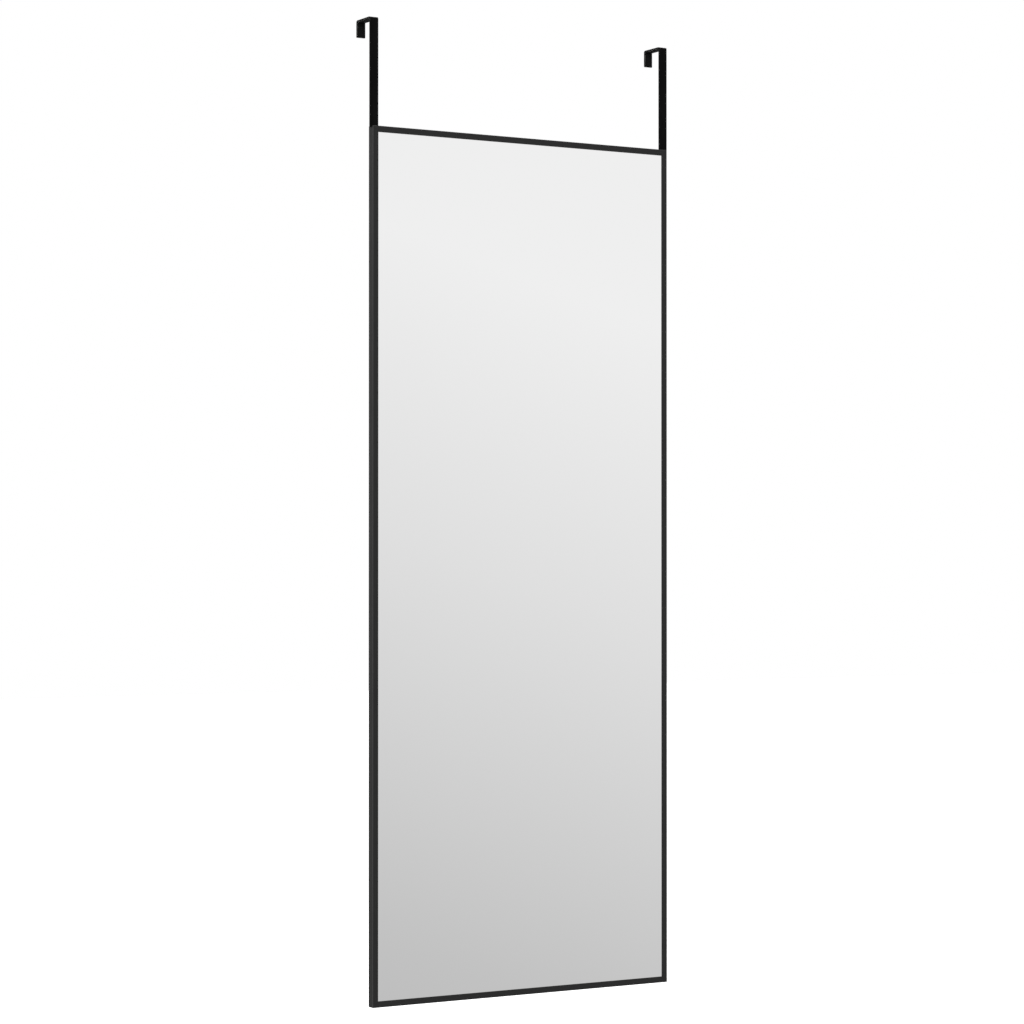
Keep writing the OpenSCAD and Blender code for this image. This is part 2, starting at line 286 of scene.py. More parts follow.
def remap(tree, value, low, high, to_low, to_high, smooth=False):
    made = add_node(tree, "ShaderNodeMapRange")
    if smooth:
        made.interpolation_type = "SMOOTHSTEP"
    for name, source in (("Value", value), ("From Min", low), ("From Max", high),
                         ("To Min", to_low), ("To Max", to_high)):
        feed(tree, made.inputs[name], source)
    return made.outputs["Result"]


def between(tree, share, first, second):
    """The plain value that lies at this share of the way from first to second."""
    return remap(tree, share, 0.0, 1.0, first, second)


def mask(tree, value, low, high, smooth=False):
    """0 up to low, and 1 from high on."""
    return remap(tree, value, low, high, 0.0, 1.0, smooth)


def fading_mask(tree, value, low, high, smooth=False):
    """1 up to low, and 0 from high on."""
    return remap(tree, value, low, high, 1.0, 0.0, smooth)


def mix_colour(tree, share, first, second):
    """Mixes two colours. The node holds sockets for all kinds of data: 6, 7 and 2 are these."""
    made = add_node(tree, "ShaderNodeMix", data_type="RGBA")
    feed(tree, made.inputs["Factor"], share)
    feed(tree, made.inputs[6], first)
    feed(tree, made.inputs[7], second)
    return made.outputs[2]


def mix_value(tree, share, first, second):
    """Mixes two plain values, whose sockets in the same node are 2, 3 and 0."""
    made = add_node(tree, "ShaderNodeMix", data_type="FLOAT")
    feed(tree, made.inputs["Factor"], share)
    feed(tree, made.inputs[2], first)
    feed(tree, made.inputs[3], second)
    return made.outputs[0]


def noise(tree, place, size, detail=2.0, roughness=0.5):
    """Noise whose lumps are about size metres across."""
    made = add_node(tree, "ShaderNodeTexNoise")
    feed(tree, made.inputs["Vector"], place)
    made.inputs["Scale"].default_value = 1 / size
    made.inputs["Detail"].default_value = detail
    made.inputs["Roughness"].default_value = roughness
    return made.outputs["Fac"]


def cells(tree, place, size):
    """The distance from the middle of each cell, with cells about size metres across."""
    made = add_node(tree, "ShaderNodeTexVoronoi")
    feed(tree, made.inputs["Vector"], place)
    made.inputs["Scale"].default_value = 1 / size
    return made.outputs["Distance"]


def stretched(tree, place, scale):
    made = add_node(tree, "ShaderNodeMapping")
    feed(tree, made.inputs["Vector"], place)
    made.inputs["Scale"].default_value = scale
    return made.outputs["Vector"]


def object_place(tree):
    return add_node(tree, "ShaderNodeTexCoord").outputs["Object"]


def split(tree, vector):
    """The X, Y and Z of a vector."""
    made = add_node(tree, "ShaderNodeSeparateXYZ")
    feed(tree, made.inputs[0], vector)
    return tuple(made.outputs)


def bump(tree, height, depth, strength=1.0):
    made = add_node(tree, "ShaderNodeBump")
    feed(tree, made.inputs["Height"], height)
    made.inputs["Distance"].default_value = depth
    made.inputs["Strength"].default_value = strength
    return made.outputs["Normal"]


def tint(red, green, blue):
    return (red, green, blue, 1.0)


def grey(level):
    return tint(level, level, level)


def new_material(name, **constants):
    """A material with one Principled shader, whose plain sockets are set here."""
    material = bpy.data.materials.new(name)
    material.use_nodes = True
    tree = material.node_tree
    shader = tree.nodes["Principled BSDF"]
    for key, value in constants.items():
        shader.inputs[key.replace("_", " ")].default_value = value
    return material, tree, shader


def set_surface(tree, shader, colour, rough, normal):
    """Feeds the three sockets that change over a surface."""
    feed(tree, shader.inputs["Base Color"], colour)
    feed(tree, shader.inputs["Roughness"], rough)
    feed(tree, shader.inputs["Normal"], normal)


def new_group(name, inputs, outputs):
    """A shader node group with named float or vector sockets."""
    tree = bpy.data.node_groups.new(name, "ShaderNodeTree")
    for label, kind in inputs:
        tree.interface.new_socket(label, in_out="INPUT", socket_type=kind)
    for label, kind in outputs:
        tree.interface.new_socket(label, in_out="OUTPUT", socket_type=kind)
    return tree, tree.nodes.new("NodeGroupInput"), tree.nodes.new("NodeGroupOutput")


def use_group(tree, group, **values):
    made = add_node(tree, "ShaderNodeGroup", node_tree=group)
    for label, source in values.items():
        feed(tree, made.inputs[label], source)
    return made.outputs


VECTOR = "NodeSocketVector"
FLOAT = "NodeSocketFloat"


# ---- Effects that more than one material uses ----

def make_frame_places():
    """How far a point lies inside the frame's outline, from the mitres and from the front."""
    tree, given, made = new_group("frame_places", (("Place", VECTOR),),
                                  (("Outer", FLOAT), ("Mitre", FLOAT), ("Depth", FLOAT)))
    x, y, z = split(tree, given.outputs["Place"])
    from_side = math_node(tree, "SUBTRACT", HALF_WIDTH, math_node(tree, "ABSOLUTE", x))
    up = math_node(tree, "SUBTRACT", z, FRAME_MID.z)
    from_end = math_node(tree, "SUBTRACT", HALF_HEIGHT, math_node(tree, "ABSOLUTE", up))
    outer = math_node(tree, "MINIMUM", from_side, from_end)
    apart = math_node(tree, "SUBTRACT", from_side, from_end)
    feed(tree, made.inputs["Outer"], outer)
    feed(tree, made.inputs["Mitre"], math_node(tree, "ABSOLUTE", apart))
    feed(tree, made.inputs["Depth"], math_node(tree, "SUBTRACT", y, FRAME_LOW.y))
    return tree


def make_handling():
    """Large soft patches and faint wiped arcs left by hands and a cloth."""
    patch_size = 60 * MM
    wipe_size = 12 * MM
    tree, given, made = new_group("handling_marks", (("Place", VECTOR),), (("Mask", FLOAT),))
    place = given.outputs["Place"]
    patches = noise(tree, place, patch_size, detail=3.0)
    wipes = noise(tree, stretched(tree, place, (3.0, 1.0, 0.6)), wipe_size, detail=4.0,
                  roughness=0.65)
    both = math_node(tree, "MULTIPLY", patches, wipes)
    feed(tree, made.inputs["Mask"], mask(tree, both, 0.14, 0.42, smooth=True))
    return tree


def make_streaks():
    """Fine drawn lines along one direction: Place comes in already stretched."""
    coarse_width = 0.9 * MM
    fine_width = 0.18 * MM
    tree, given, made = new_group("drawn_lines", (("Place", VECTOR),),
                                  (("Height", FLOAT), ("Tone", FLOAT)))
    place = given.outputs["Place"]
    coarse = noise(tree, place, coarse_width, detail=2.0)
    fine = noise(tree, place, fine_width, detail=3.0, roughness=0.6)
    both = math_node(tree, "ADD", math_node(tree, "MULTIPLY", coarse, 0.4),
                     math_node(tree, "MULTIPLY", fine, 0.6))
    feed(tree, made.inputs["Height"], both)
    feed(tree, made.inputs["Tone"], mask(tree, both, 0.35, 0.65))
    return tree


def make_skin():
    """The skin of a sprayed or moulded surface: slow waves with fine pips on them."""
    wave_size = 1.6 * MM
    pip_size = 0.32 * MM
    tree, given, made = new_group("fine_skin", (("Place", VECTOR), ("Pips", FLOAT)),
                                  (("Height", FLOAT), ("Tone", FLOAT)))
    place = given.outputs["Place"]
    waves = noise(tree, place, wave_size, detail=1.0)
    pips = noise(tree, place, pip_size, detail=2.5, roughness=0.6)
    raised = math_node(tree, "MULTIPLY", pips, given.outputs["Pips"])
    feed(tree, made.inputs["Height"], math_node(tree, "ADD", waves, raised))
    feed(tree, made.inputs["Tone"], mask(tree, pips, 0.3, 0.7))
    return tree


# ---- Materials ----

def front_arris_highlight_and_wear_mask(tree, spots):
    """1 along the frame's outer front edge, gone within a millimetre of it: where a painted
    highlight, with a little wear, goes.
    """
    bright_to = 0.2 * MM
    gone_at = 0.75 * MM
    squares = math_node(tree, "ADD", math_node(tree, "POWER", spots["Outer"], 2.0),
                        math_node(tree, "POWER", spots["Depth"], 2.0))
    away = math_node(tree, "SQRT", squares)
    return fading_mask(tree, away, bright_to, gone_at, smooth=True)


def mitre_seam_mask(tree, spots):
    """1 in the hairline between two rails."""
    dark_to = 0.05 * MM
    gone_at = 0.16 * MM
    return fading_mask(tree, spots["Mitre"], dark_to, gone_at, smooth=True)


def make_rail_finish(name, grain_scale, groups):
    """Black anodised aluminium, drawn along the rail, with its mitre seams and a painted
    highlight, with a little wear, along its outer front arris.
    """
    dark_line = grey(0.0125)
    pale_line = grey(0.0190)
    # Lighter grey for the outer front arris: a painted highlight, with a little wear.
    arris_highlight_and_wear_grey = grey(0.07)
    seam_black = grey(0.002)
    material, tree, shader = new_material(name, Specular_IOR_Level=0.13)
    place = object_place(tree)
    spots = use_group(tree, groups["places"], Place=place)
    lines = use_group(tree, groups["streaks"], Place=stretched(tree, place, grain_scale))
    marks = use_group(tree, groups["handling"], Place=place)
    # The painted highlight, with a little wear, along the outer front arris.
    arris_highlight_and_wear = math_node(tree, "MULTIPLY", front_arris_highlight_and_wear_mask(tree, spots), 0.7)
    seam = mitre_seam_mask(tree, spots)
    tone = mix_colour(tree, lines["Tone"], dark_line, pale_line)
    tone = mix_colour(tree, arris_highlight_and_wear, tone, arris_highlight_and_wear_grey)
    tone = mix_colour(tree, seam, tone, seam_black)
    rough = math_node(tree, "ADD", between(tree, marks["Mask"], 0.44, 0.52),
                      math_node(tree, "MULTIPLY", lines["Tone"], 0.05))
    height = math_node(tree, "SUBTRACT", lines["Height"],
                       math_node(tree, "MULTIPLY", seam, 6.0))
    set_surface(tree, shader, tone, rough, bump(tree, height, 0.012 * MM, 0.5))
    return material


def make_hook_finish(groups):
    """Matt black powder coat on flat steel, with a faint grey bloom where it is handled."""
    coat_dark = grey(0.0005)
    coat_pale = grey(0.0024)
    bloom_grey = grey(0.0065)
    material, tree, shader = new_material("powder_coat_black", Specular_IOR_Level=0.042)
    place = object_place(tree)
    skin = use_group(tree, groups["skin"], Place=place, Pips=1.0)
    marks = use_group(tree, groups["handling"], Place=place)
    coat = mix_colour(tree, skin["Tone"], coat_dark, coat_pale)
    bloom = math_node(tree, "MULTIPLY", marks["Mask"], 0.30)
    tone = mix_colour(tree, bloom, coat, bloom_grey)
    rough = between(tree, marks["Mask"], 0.46, 0.60)
    set_surface(tree, shader, tone, rough, bump(tree, skin["Height"], 0.09 * MM, 0.8))
    return material


def make_hook_arris_wear_and_highlight_finish(groups):
    """The same coat on the strap's edges, painted lighter than on the faces as a painted edge
    highlight, and rubbed through in places.
    """
    # The coat on the edges is lighter than on the faces: a painted highlight along the edges.
    coat_dark = grey(0.0030)
    coat_pale = grey(0.0090)
    rubbed_grey = grey(0.075)
    rub_size = 4 * MM
    material, tree, shader = new_material("powder_coat_rubbed_and_highlit", Specular_IOR_Level=0.22)
    place = object_place(tree)
    skin = use_group(tree, groups["skin"], Place=place, Pips=1.0)
    rubs = noise(tree, place, rub_size, detail=5.0, roughness=0.7)
    rubbed = mask(tree, rubs, 0.49, 0.62, smooth=True)
    coat = mix_colour(tree, skin["Tone"], coat_dark, coat_pale)
    tone = mix_colour(tree, rubbed, coat, rubbed_grey)
    rough = between(tree, rubbed, 0.50, 0.38)
    set_surface(tree, shader, tone, rough, bump(tree, skin["Height"], 0.05 * MM, 0.6))
    return material


def make_mirror_finish(groups):
    """Silvered in front, with green cut edges and grey paint on the back."""
    edge_dark = tint(0.10, 0.24, 0.19)
    edge_pale = tint(0.22, 0.40, 0.33)
    paint_dark = grey(0.24)
    paint_pale = grey(0.30)
    grain_size = 0.4 * MM
    material, tree, shader = new_material("silvered_glass")
    normal = add_node(tree, "ShaderNodeTexCoord").outputs["Normal"]
    _, facing, _ = split(tree, normal)
    front = fading_mask(tree, facing, -0.9, -0.6)
    back = mask(tree, facing, 0.6, 0.9)
    place = object_place(tree)
    marks = use_group(tree, groups["handling"], Place=place)
    grain = noise(tree, place, grain_size, detail=2.0)
    edge = mix_colour(tree, grain, edge_dark, edge_pale)
    paint = mix_colour(tree, grain, paint_dark, paint_pale)
    tone = mix_colour(tree, back, edge, paint)
    feed(tree, shader.inputs["Base Color"], mix_colour(tree, front, tone, grey(MIRROR_TONE)))
    feed(tree, shader.inputs["Metallic"], front)
    clean = between(tree, marks["Mask"], 0.004, 0.016)
    dull = between(tree, grain, 0.35, 0.6)
    feed(tree, shader.inputs["Roughness"], mix_value(tree, front, dull, clean))
    return material


def make_film_finish(groups):
    """Grey polyester film with a slight pull in it."""
    film_dark = tint(0.44, 0.47, 0.50)
    film_pale = tint(0.50, 0.53, 0.56)
    material, tree, shader = new_material("safety_film_grey")
    skin = use_group(tree, groups["skin"], Place=object_place(tree), Pips=0.1)
    tone = mix_colour(tree, skin["Tone"], film_dark, film_pale)
    rough = between(tree, skin["Tone"], 0.25, 0.35)
    set_surface(tree, shader, tone, rough, bump(tree, skin["Height"], 0.02 * MM, 0.5))
    return material


def screen_print(tree, place):
    """The weave of the wire screen that the board was pressed on, from -1 to 1."""
    pitch = 1.25 * MM
    x, _, z = split(tree, place)
    wires = [math_node(tree, "SINE", math_node(tree, "MULTIPLY", axis, 2 * math.pi / pitch))
             for axis in (x, z)]
    return math_node(tree, "MULTIPLY", wires[0], wires[1])


def make_hardboard_finish():
    """Brown hardboard with the wire screen's print on the side that shows."""
    fibre_dark = tint(0.085, 0.044, 0.022)
    fibre_pale = tint(0.215, 0.120, 0.062)
    clump_pale = tint(0.250, 0.148, 0.080)
    cloud_dark = tint(0.110, 0.058, 0.030)
    print_dark = tint(0.070, 0.036, 0.018)
    fibre_size = 0.45 * MM
    clump_size = 9 * MM
    cloud_size = 110 * MM
    material, tree, shader = new_material("hardboard_screen_side", Specular_IOR_Level=0.25)
    place = object_place(tree)
    weave = screen_print(tree, place)
    fibres = noise(tree, stretched(tree, place, (1.0, 1.0, 0.35)), fibre_size, detail=5.0,
                   roughness=0.65)
    clumps = noise(tree, place, clump_size, detail=4.0, roughness=0.6)
    clouds = noise(tree, place, cloud_size, detail=3.0)
    tone = mix_colour(tree, mask(tree, fibres, 0.3, 0.7), fibre_dark, fibre_pale)
    tone = mix_colour(tree, remap(tree, clumps, 0.42, 0.72, 0.0, 0.40), tone, clump_pale)
    tone = mix_colour(tree, remap(tree, clouds, 0.4, 0.7, 0.0, 0.20), tone, cloud_dark)
    tone = mix_colour(tree, remap(tree, weave, -1.0, 0.2, 0.35, 0.0), tone, print_dark)
    rough = remap(tree, fibres, 0.3, 0.7, 0.68, 0.86)
    height = math_node(tree, "ADD", math_node(tree, "MULTIPLY", weave, 0.6), fibres)
    set_surface(tree, shader, tone, rough, bump(tree, height, 0.09 * MM, 0.7))
    return material


def make_zinc_finish(groups):
    """Zinc plated pressed steel, with roll lines and a faint blue and straw cast."""
    blue_cast = tint(0.30, 0.33, 0.38)
    straw_cast = tint(0.42, 0.39, 0.32)
    roll_line = grey(0.20)
    cast_size = 7 * MM
    material, tree, shader = new_material("zinc_plated_steel", Metallic=1.0)
    place = object_place(tree)
    lines = use_group(tree, groups["streaks"],
                      Place=stretched(tree, place, (1.0, 1.0, 0.05)))
    cast = noise(tree, place, cast_size, detail=3.0)
    tone = mix_colour(tree, mask(tree, cast, 0.35, 0.65), blue_cast, straw_cast)
    tone = mix_colour(tree, math_node(tree, "MULTIPLY", lines["Tone"], 0.55), tone, roll_line)
    rough = between(tree, lines["Tone"], 0.26, 0.46)
    set_surface(tree, shader, tone, rough, bump(tree, lines["Height"], 0.01 * MM, 0.6))
    return material


def make_screw_finish(groups):
    """Black oxide on steel, rubbed brighter in places by the key."""
    oxide_dark = tint(0.055, 0.055, 0.060)
    oxide_pale = tint(0.088, 0.087, 0.089)
    rubbed_steel = tint(0.17, 0.165, 0.16)
    grain_size = 0.12 * MM
    material, tree, shader = new_material("black_oxide_steel", Metallic=1.0)
    place = object_place(tree)
    grain = noise(tree, place, grain_size, detail=2.0)
    marks = use_group(tree, groups["handling"], Place=place)
    oxide = mix_colour(tree, mask(tree, grain, 0.35, 0.65), oxide_dark, oxide_pale)
    rubbed = math_node(tree, "MULTIPLY", marks["Mask"], 0.5)
    tone = mix_colour(tree, rubbed, oxide, rubbed_steel)
    rough = remap(tree, grain, 0.3, 0.7, 0.28, 0.40)
    set_surface(tree, shader, tone, rough, bump(tree, grain, 0.006 * MM, 0.5))
    return material


def make_foam_finish(groups):
    """Black closed cell foam, cut so that its cells show."""
    cell_dark = grey(0.0015)
    wall_pale = grey(0.0060)
    cell_size = 0.34 * MM
    material, tree, shader = new_material("closed_cell_foam", Specular_IOR_Level=0.08)
    place = object_place(tree)
    bubbles = cells(tree, place, cell_size)
    skin = use_group(tree, groups["skin"], Place=place, Pips=0.3)
    tone = mix_colour(tree, mask(tree, bubbles, 0.1, 0.6), cell_dark, wall_pale)
    rough = between(tree, skin["Tone"], 0.82, 0.95)
    set_surface(tree, shader, tone, rough, bump(tree, bubbles, 0.12 * MM, 0.8))
    return material


def make_tape_finish(groups):
    """White carrier of the double sided tape."""
    tape_dark = tint(0.62, 0.62, 0.59)
    tape_pale = tint(0.72, 0.72, 0.69)
    material, tree, shader = new_material("tape_carrier")
    skin = use_group(tree, groups["skin"], Place=object_place(tree), Pips=0.2)
    tone = mix_colour(tree, skin["Tone"], tape_dark, tape_pale)
    rough = between(tree, skin["Tone"], 0.4, 0.55)
    set_surface(tree, shader, tone, rough, bump(tree, skin["Height"], 0.02 * MM, 0.5))
    return material


def make_bumper_finish(groups):
    """Soft black moulded rubber with a little bloom on it."""
    rubber_black = grey(0.012)
    bloom_grey = grey(0.035)
    bloom_size = 2.5 * MM
    material, tree, shader = new_material("moulded_rubber", Specular_IOR_Level=0.3)
    place = object_place(tree)
    skin = use_group(tree, groups["skin"], Place=place, Pips=0.7)
    bloom = remap(tree, noise(tree, place, bloom_size, detail=3.0), 0.45, 0.75, 0.0, 0.5)
    tone = mix_colour(tree, bloom, rubber_black, bloom_grey)
    rough = between(tree, skin["Tone"], 0.62, 0.78)
    set_surface(tree, shader, tone, rough, bump(tree, skin["Height"], 0.03 * MM, 0.6))
    return material


def make_finishes():
    groups = {"places": make_frame_places(), "handling": make_handling(),
              "streaks": make_streaks(), "skin": make_skin()}
    lengthwise = 0.02  # how little the drawn lines change along the rail
    return {
        "upright_rail": make_rail_finish("anodised_upright", (1.0, 1.0, lengthwise), groups),
        "level_rail": make_rail_finish("anodised_level", (lengthwise, 1.0, 1.0), groups),
        "hook": make_hook_finish(groups),
        "hook_arris_wear_and_highlight": make_hook_arris_wear_and_highlight_finish(groups),
        "mirror": make_mirror_finish(groups),
        "film": make_film_finish(groups),
        "board": make_hardboard_finish(),
        "zinc": make_zinc_finish(groups),
        "screw": make_screw_finish(groups),
        "foam": make_foam_finish(groups),
        "tape": make_tape_finish(groups),
        "rubber": make_bumper_finish(groups),
    }


# ---- Rails, glass, back and corner keys ----

def paint_cad_nodes(finishes):
    for side in SIDES:
        paint_node(side + "_rail", finishes["upright_rail"])
    for name in ("top_rail", "bottom_rail"):
        paint_node(name, finishes["level_rail"])
    paint_node("mirror_glass", finishes["mirror"])
    paint_node("safety_film", finishes["film"])
    paint_node("backing_board", finishes["board"])
    for corner in CORNERS:
        paint_node("corner_key_" + corner, finishes["zinc"])
        paint_node("backing_plate_" + corner, finishes["zinc"])


# ---- Hooks ----

def make_hook(side, finishes):
    """The bent strap with the soft arrises that a powder coat leaves."""
    node = "hook_" + side
    hook = bpy.data.objects.new(node + "_coated", NODES[node].data.copy())
    bpy.context.scene.collection.objects.link(hook)
    # The CAD's loose triangles become whole faces again, so that only real arrises are round
    edit_all(hook)
    bpy.ops.mesh.remove_doubles(threshold=WELD)
    bpy.ops.mesh.dissolve_limited(angle_limit=math.radians(0.3))
    leave_edit()
    finish_with(hook, finishes["hook"], finishes["hook_arris_wear_and_highlight"])
    # The rounded edges get the second finish: painted lighter as an edge highlight, and rubbed
    # through in places.
    bevel_edges(hook, HOOK_ARRIS, finish_index=1)
    smooth_shade(hook)
    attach(hook, "root")
    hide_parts(node)


# ---- Pads ----

def lower_rim(slab, low, high, axis, crown):
    """Lets the rim of one face fall away, so that the face is crowned between its edges."""
    index, sign = axis
    face_at = high[index] if sign > 0 else low[index]
    off_face = 0.01 * MM
    mid = (low + high) / 2
    half = (high - low) / 2
    for vertex in slab.data.vertices:
        if abs(vertex.co[index] - face_at) > off_face:
            continue
        reach = max(abs(vertex.co[k] - mid[k]) / half[k] for k in range(3) if k != index)
        vertex.co[index] -= sign * crown * reach ** 4


def make_slab(name, low, high, edge, crown_axis=None, crown=0.0):
    """A block with rounded arrises, and a crown on the face towards crown_axis."""
    bpy.ops.object.select_all(action="DESELECT")
    bpy.ops.mesh.primitive_cube_add(size=1, location=(low + high) / 2)
    slab = bpy.context.object
    slab.name = name
    slab.scale = high - low
    apply_place(slab)
    edit_all(slab)
    bpy.ops.mesh.subdivide(number_cuts=SLAB_CUTS)
    leave_edit()
    if crown_axis is not None:
        lower_rim(slab, low, high, crown_axis, crown)
    bevel_edges(slab, edge, degrees=60)
    smooth_shade(slab, degrees=40)
    return slab


def make_pad(node, axis, finishes):
    """A foam pad on its tape. The axis, an index and a sign, points to the free face."""
    low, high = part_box(node)
    index, sign = axis
    foam_low, foam_high = low.copy(), high.copy()
    tape_low, tape_high = low.copy(), high.copy()
    if sign > 0:
        foam_low[index] += TAPE_T
        tape_high[index] = foam_low[index]
    else:
        foam_high[index] -= TAPE_T
        tape_low[index] = foam_high[index]
    foam = make_slab(node + "_foam", foam_low, foam_high, FOAM_EDGE, axis, FOAM_CROWN)
    dress(foam, finishes["foam"])
    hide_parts(node)
    tape = make_slab(node + "_tape", tape_low, tape_high, TAPE_EDGE)
    dress(tape, finishes["tape"])


def make_pads(finishes):
    down = (2, -1)
    forward = (1, -1)
    for side in SIDES:
        make_pad("bridge_pad_" + side, down, finishes)
        make_pad("lip_pad_" + side, forward, finishes)


# ---- Screws ----

def thread_depth_at(turns, height):
    """How deep the thread is cut, from 0 at its crest to 1 at its root.

    The angle is given in turns, and the height along the screw in pitches."""
    phase = (height - turns) % 1.0
    return min(1.0, abs(2 * phase - 1) * THREAD_STEEPNESS)


def cut_thread(screw, tip, length, thread):
    """Moves the wall of a cylinder in along a helix about its own Y axis."""
    depth = thread["depth"]

    def scale_at(place, reach):
        from_end = min(place.y, length - place.y)
        fade = max(0.0, min(1.0, from_end / thread["fade"]))
        share = thread_depth_at(turn_of(place), place.y / thread["pitch"]) * fade
        end_drop = depth * (1 - fade)
        return (thread["crest"] - depth * share - end_drop) / reach

    reshape_wall(screw, tip, wall_from=0.9 * thread["crest"], scale_at=scale_at)


def make_screw_blank(tip, length, thread):
    """A cylinder along +Y from tip, with the rings that its thread needs."""
    blank = add_cylinder(tip + along(length / 2), thread["crest"], length, SCREW_SIDES)

    def runs_along(edge):
        first, second = (blank.data.vertices[k].co for k in edge.vertices)
        return abs(first.y - second.y) > length / 2

    edit_some(blank, "EDGE", runs_along)
    bpy.ops.mesh.subdivide(number_cuts=thread["rings"])
    leave_edit()
    return blank


def sink_socket(screw, mouth, depth):
    """Cuts the hexagon socket down from its mouth, in the end that faces +Y."""
    cutter = add_cylinder(mouth, SOCKET_FLATS / math.sqrt(3), 2 * depth, sides=6)
    cut = screw.modifiers.new("socket", "BOOLEAN")
    cut.operation = "DIFFERENCE"
    cut.solver = "EXACT"
    cut.object = cutter
    apply_modifiers(screw)
    bpy.data.objects.remove(cutter)


def grub_screw_tips(corner):
    """The tips of a corner's four grub screws, from the CAD group's box."""
    low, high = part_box("grub_screws_" + corner)
    right = 1 if "right" in corner else -1
    up = 1 if "top" in corner else -1
    near_x = (high.x if right > 0 else low.x) - right * GRUB_RADIUS
    near_z = (high.z if up > 0 else low.z) - up * GRUB_RADIUS
    far_x = (low.x if right > 0 else high.x) + right * GRUB_RADIUS
    far_z = (low.z if up > 0 else high.z) + up * GRUB_RADIUS
    return (Vector((near_x, low.y, far_z)),
            Vector((near_x, low.y, far_z + up * GRUB_STEP)),
            Vector((far_x, low.y, near_z)),
            Vector((far_x + right * GRUB_STEP, low.y, near_z)))


def make_grub_screw(tip, length):
    screw = make_screw_blank(tip, length, M4_THREAD)
    cut_thread(screw, tip, length, M4_THREAD)
    sink_socket(screw, tip + along(length), GRUB_SOCKET_DEPTH)
    outward_normals(screw)
    smooth_shade(screw, degrees=30)
    return screw


def make_grub_screws(finish):
    """One grub screw is cut, and copied to all sixteen places."""
    low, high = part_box("grub_screws_" + CORNERS[0])
    first_tip = grub_screw_tips(CORNERS[0])[0]
    master = make_grub_screw(first_tip, high.y - low.y)
    for corner in CORNERS:
        for number, tip in enumerate(grub_screw_tips(corner)):
            name = f"grub_screw_{corner}_{number + 1}"
            screw = copy_of(master, name, tip - first_tip)
            dress(screw, finish)
            if number == 0:
                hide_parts("grub_screws_" + corner)
    bpy.data.objects.remove(master)


def make_screw_head(seat):
    """A low round head along +Y from seat, with a knurled side and a soft rim."""
    head = add_cylinder(seat + along(HEAD_HEIGHT / 2), HEAD_RADIUS, HEAD_HEIGHT, KNURL_SIDES)
    bevel_edges(head, HEAD_EDGE, segments=4, degrees=60)

    def scale_at(place, reach):
        in_groove = round(turn_of(place) * KNURL_SIDES) % 2
        return 1 - KNURL_DEPTH if in_groove else 1.0

    reshape_wall(head, seat, wall_from=0.97 * HEAD_RADIUS, scale_at=scale_at)
    return head


def make_hook_screw(name, tip, length):
    """A low head screw. The length is that of its shank, from the tip to the head's seat."""
    seat = tip + along(length)
    shank = make_screw_blank(tip, length, M3_THREAD)
    cut_thread(shank, tip, length, M3_THREAD)
    head = make_screw_head(seat)
    sink_socket(head, seat + along(HEAD_HEIGHT), HEAD_SOCKET_DEPTH)
    screw = join_pieces([head, shank], name)
    outward_normals(screw)
    smooth_shade(screw, degrees=30)
    return screw


def make_hook_screws(finish):
    """The two low head screws that go through the web into each hook's tongue."""
    for side in SIDES:
        node = "hook_screws_" + side
        low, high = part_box(node)
        middle = (low.x + high.x) / 2
        length = high.y - HEAD_HEIGHT - low.y
        for number, at in enumerate((high.z - HEAD_RADIUS, low.z + HEAD_RADIUS)):
            name = f"hook_screw_{side}_{number + 1}"
            screw = make_hook_screw(name, Vector((middle, low.y, at)), length)
            dress(screw, finish)
            if number == 0:
                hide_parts(node)


# ---- Bumpers ----

def roll_rim(foot, height):
    """Rounds the rim of the disc's top."""
    edit_some(foot, "FACE", lambda face: face.normal.y > 0.9)
    bpy.ops.mesh.region_to_loop()
    bpy.ops.mesh.bevel(offset=height, segments=6, profile=0.5, affect="EDGES")
    leave_edit()


def dish_top(foot, radius, height):
    """Sinks the flat of the top, ring by ring."""
    top = max(face.area for face in foot.data.polygons if face.normal.y > 0.99)
    edit_some(foot, "FACE", lambda face: face.normal.y > 0.99 and face.area == top)
    for width, fall in BUMPER_DISH:
        bpy.ops.mesh.inset(thickness=width * radius, depth=-fall * height)
    leave_edit()


def grow_base(foot, inset, height):
    """Draws the narrower base out of the disc's underside."""
    edit_some(foot, "FACE", lambda face: face.normal.y < -0.9)
    bpy.ops.mesh.inset(thickness=inset, depth=0)
    bpy.ops.mesh.extrude_region_move(TRANSFORM_OT_translate={"value": along(-height)})
    leave_edit()


def make_bumper(corner, finish):
    """A soft foot: a disc with a rolled rim and a dished top, on a slightly smaller base."""
    node = "bumper_" + corner
    low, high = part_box(node)
    radius = (high.x - low.x) / 2
    height = high.y - low.y
    base_t = BUMPER_BASE * height
    middle = (low + high) / 2 + along(base_t / 2)
    foot = add_cylinder(middle, radius, height - base_t, BUMPER_SIDES)
    foot.name = node + "_moulded"
    roll_rim(foot, BUMPER_RIM * height)
    dish_top(foot, radius, height)
    grow_base(foot, BUMPER_BASE_INSET * radius, base_t)
    outward_normals(foot)
    smooth_shade(foot, degrees=40)
    dress(foot, finish)
    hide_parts(node)


# ---- Studio ----

def make_camera():
    data = bpy.data.cameras.new("photo_view")
    data.sensor_width = CAMERA_SENSOR
    data.lens = CAMERA_LENS
    data.shift_y = CAMERA_SHIFT
    data.clip_start = 0.05
    data.clip_end = 200.0
    camera = bpy.data.objects.new("photo_view", data)
    camera.location = (FRAME_MID.x - CAMERA_LEFT, FRAME_LOW.y - CAMERA_BEFORE,
                       FRAME_LOW.z + CAMERA_ABOVE)
    camera.rotation_euler = (math.radians(90) + CAMERA_TILT, 0, -CAMERA_TURN)
    bpy.context.scene.collection.objects.link(camera)
    bpy.context.scene.camera = camera


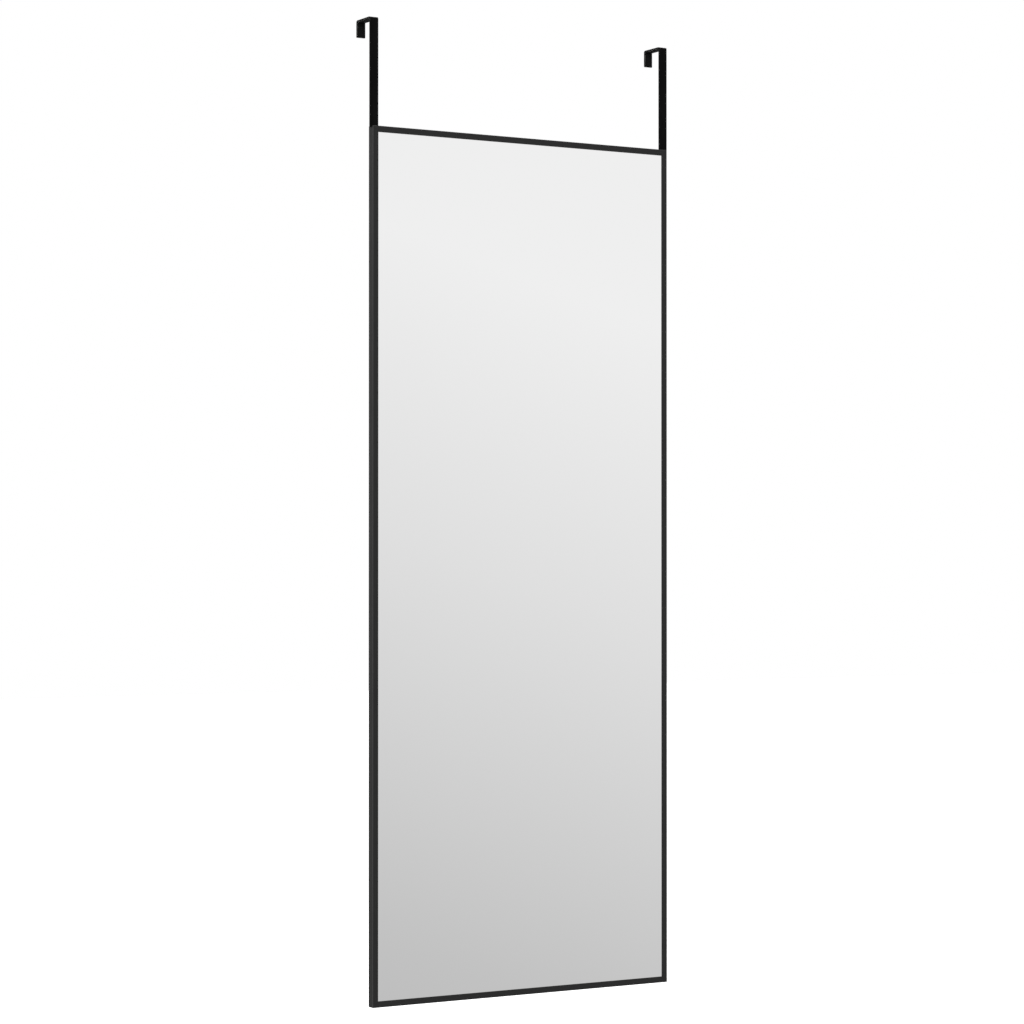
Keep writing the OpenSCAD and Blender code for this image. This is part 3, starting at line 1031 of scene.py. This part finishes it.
def make_softbox(name, from_middle, side, power):
    """A square lamp that points at the frame's middle."""
    data = bpy.data.lights.new(name, "AREA")
    data.shape = "SQUARE"
    data.size = side
    data.energy = power
    lamp = bpy.data.objects.new(name, data)
    lamp.location = FRAME_MID + Vector(from_middle)
    towards = FRAME_MID - lamp.location
    lamp.rotation_euler = towards.to_track_quat("-Z", "Y").to_euler()
    bpy.context.scene.collection.objects.link(lamp)


def studio_sky(tree):
    """The pale studio that the mirror and the frame show: lighter above, greyer below."""
    direction = add_node(tree, "ShaderNodeTexCoord").outputs["Generated"]
    x, _, z = split(tree, direction)
    aside = math_node(tree, "SUBTRACT", x, math.sin(CAMERA_TURN))
    aside = math_node(tree, "MINIMUM", aside, STUDIO_ASIDE_REACH)
    aside = math_node(tree, "MAXIMUM", aside, -STUDIO_ASIDE_REACH)
    level = math_node(tree, "ADD", z, math_node(tree, "MULTIPLY", aside, STUDIO_ASIDE))
    low, high = STUDIO_STOPS[0][0], STUDIO_STOPS[-1][0]
    ramp = add_node(tree, "ShaderNodeValToRGB")
    stops = ramp.color_ramp.elements
    for at, tone in STUDIO_STOPS[1:-1]:
        stops.new((at - low) / (high - low)).color = grey(tone / MIRROR_TONE)
    for end in (0, -1):
        stops[end].color = grey(STUDIO_STOPS[end][1] / MIRROR_TONE)
    feed(tree, ramp.inputs["Fac"], mask(tree, level, low, high))
    return ramp.outputs["Color"]


def make_world():
    """White for the camera and through glass, and the studio for all that is reflected."""
    world = bpy.data.worlds.new("studio")
    bpy.context.scene.world = world
    world.use_nodes = True
    tree = world.node_tree
    tree.nodes.clear()
    sky = add_node(tree, "ShaderNodeBackground")
    feed(tree, sky.inputs["Color"], studio_sky(tree))
    white = add_node(tree, "ShaderNodeBackground")
    white.inputs["Color"].default_value = grey(1.0)
    path = add_node(tree, "ShaderNodeLightPath")
    seen = math_node(tree, "MAXIMUM", path.outputs["Is Camera Ray"],
                     path.outputs["Is Transmission Ray"])
    mix = add_node(tree, "ShaderNodeMixShader")
    feed(tree, mix.inputs[0], seen)
    feed(tree, mix.inputs[1], sky.outputs[0])
    feed(tree, mix.inputs[2], white.outputs[0])
    out = add_node(tree, "ShaderNodeOutputWorld")
    feed(tree, out.inputs["Surface"], mix.outputs[0])


def make_floor():
    """A white floor that goes white where nothing shades it, and keeps the shadow."""
    bpy.ops.object.select_all(action="DESELECT")
    bpy.ops.mesh.primitive_plane_add(
        size=FLOOR_SPAN, location=(0, 0, FRAME_LOW.z - FLOOR_DROP))
    floor = bpy.context.object
    floor.name = "studio_floor"
    floor.visible_glossy = False
    material, tree, shader = new_material(
        "studio_floor_white", Base_Color=grey(FLOOR_TONE), Roughness=0.9,
        Specular_IOR_Level=0.1, Emission_Color=grey(1.0))
    path = add_node(tree, "ShaderNodeLightPath")
    lift = math_node(tree, "MULTIPLY", path.outputs["Is Camera Ray"], FLOOR_LIFT)
    feed(tree, shader.inputs["Emission Strength"], lift)
    floor.data.materials.append(material)


def make_studio():
    bpy.context.scene.view_settings.view_transform = "Standard"
    make_camera()
    for softbox in SOFTBOXES:
        make_softbox(*softbox)
    make_world()
    make_floor()


# ---- The whole mirror ----

def make_mirror():
    finishes = make_finishes()
    paint_cad_nodes(finishes)
    for side in SIDES:
        make_hook(side, finishes)
    make_pads(finishes)
    make_grub_screws(finishes["screw"])
    make_hook_screws(finishes["screw"])
    for corner in CORNERS:
        make_bumper(corner, finishes["rubber"])


make_studio()
make_mirror()
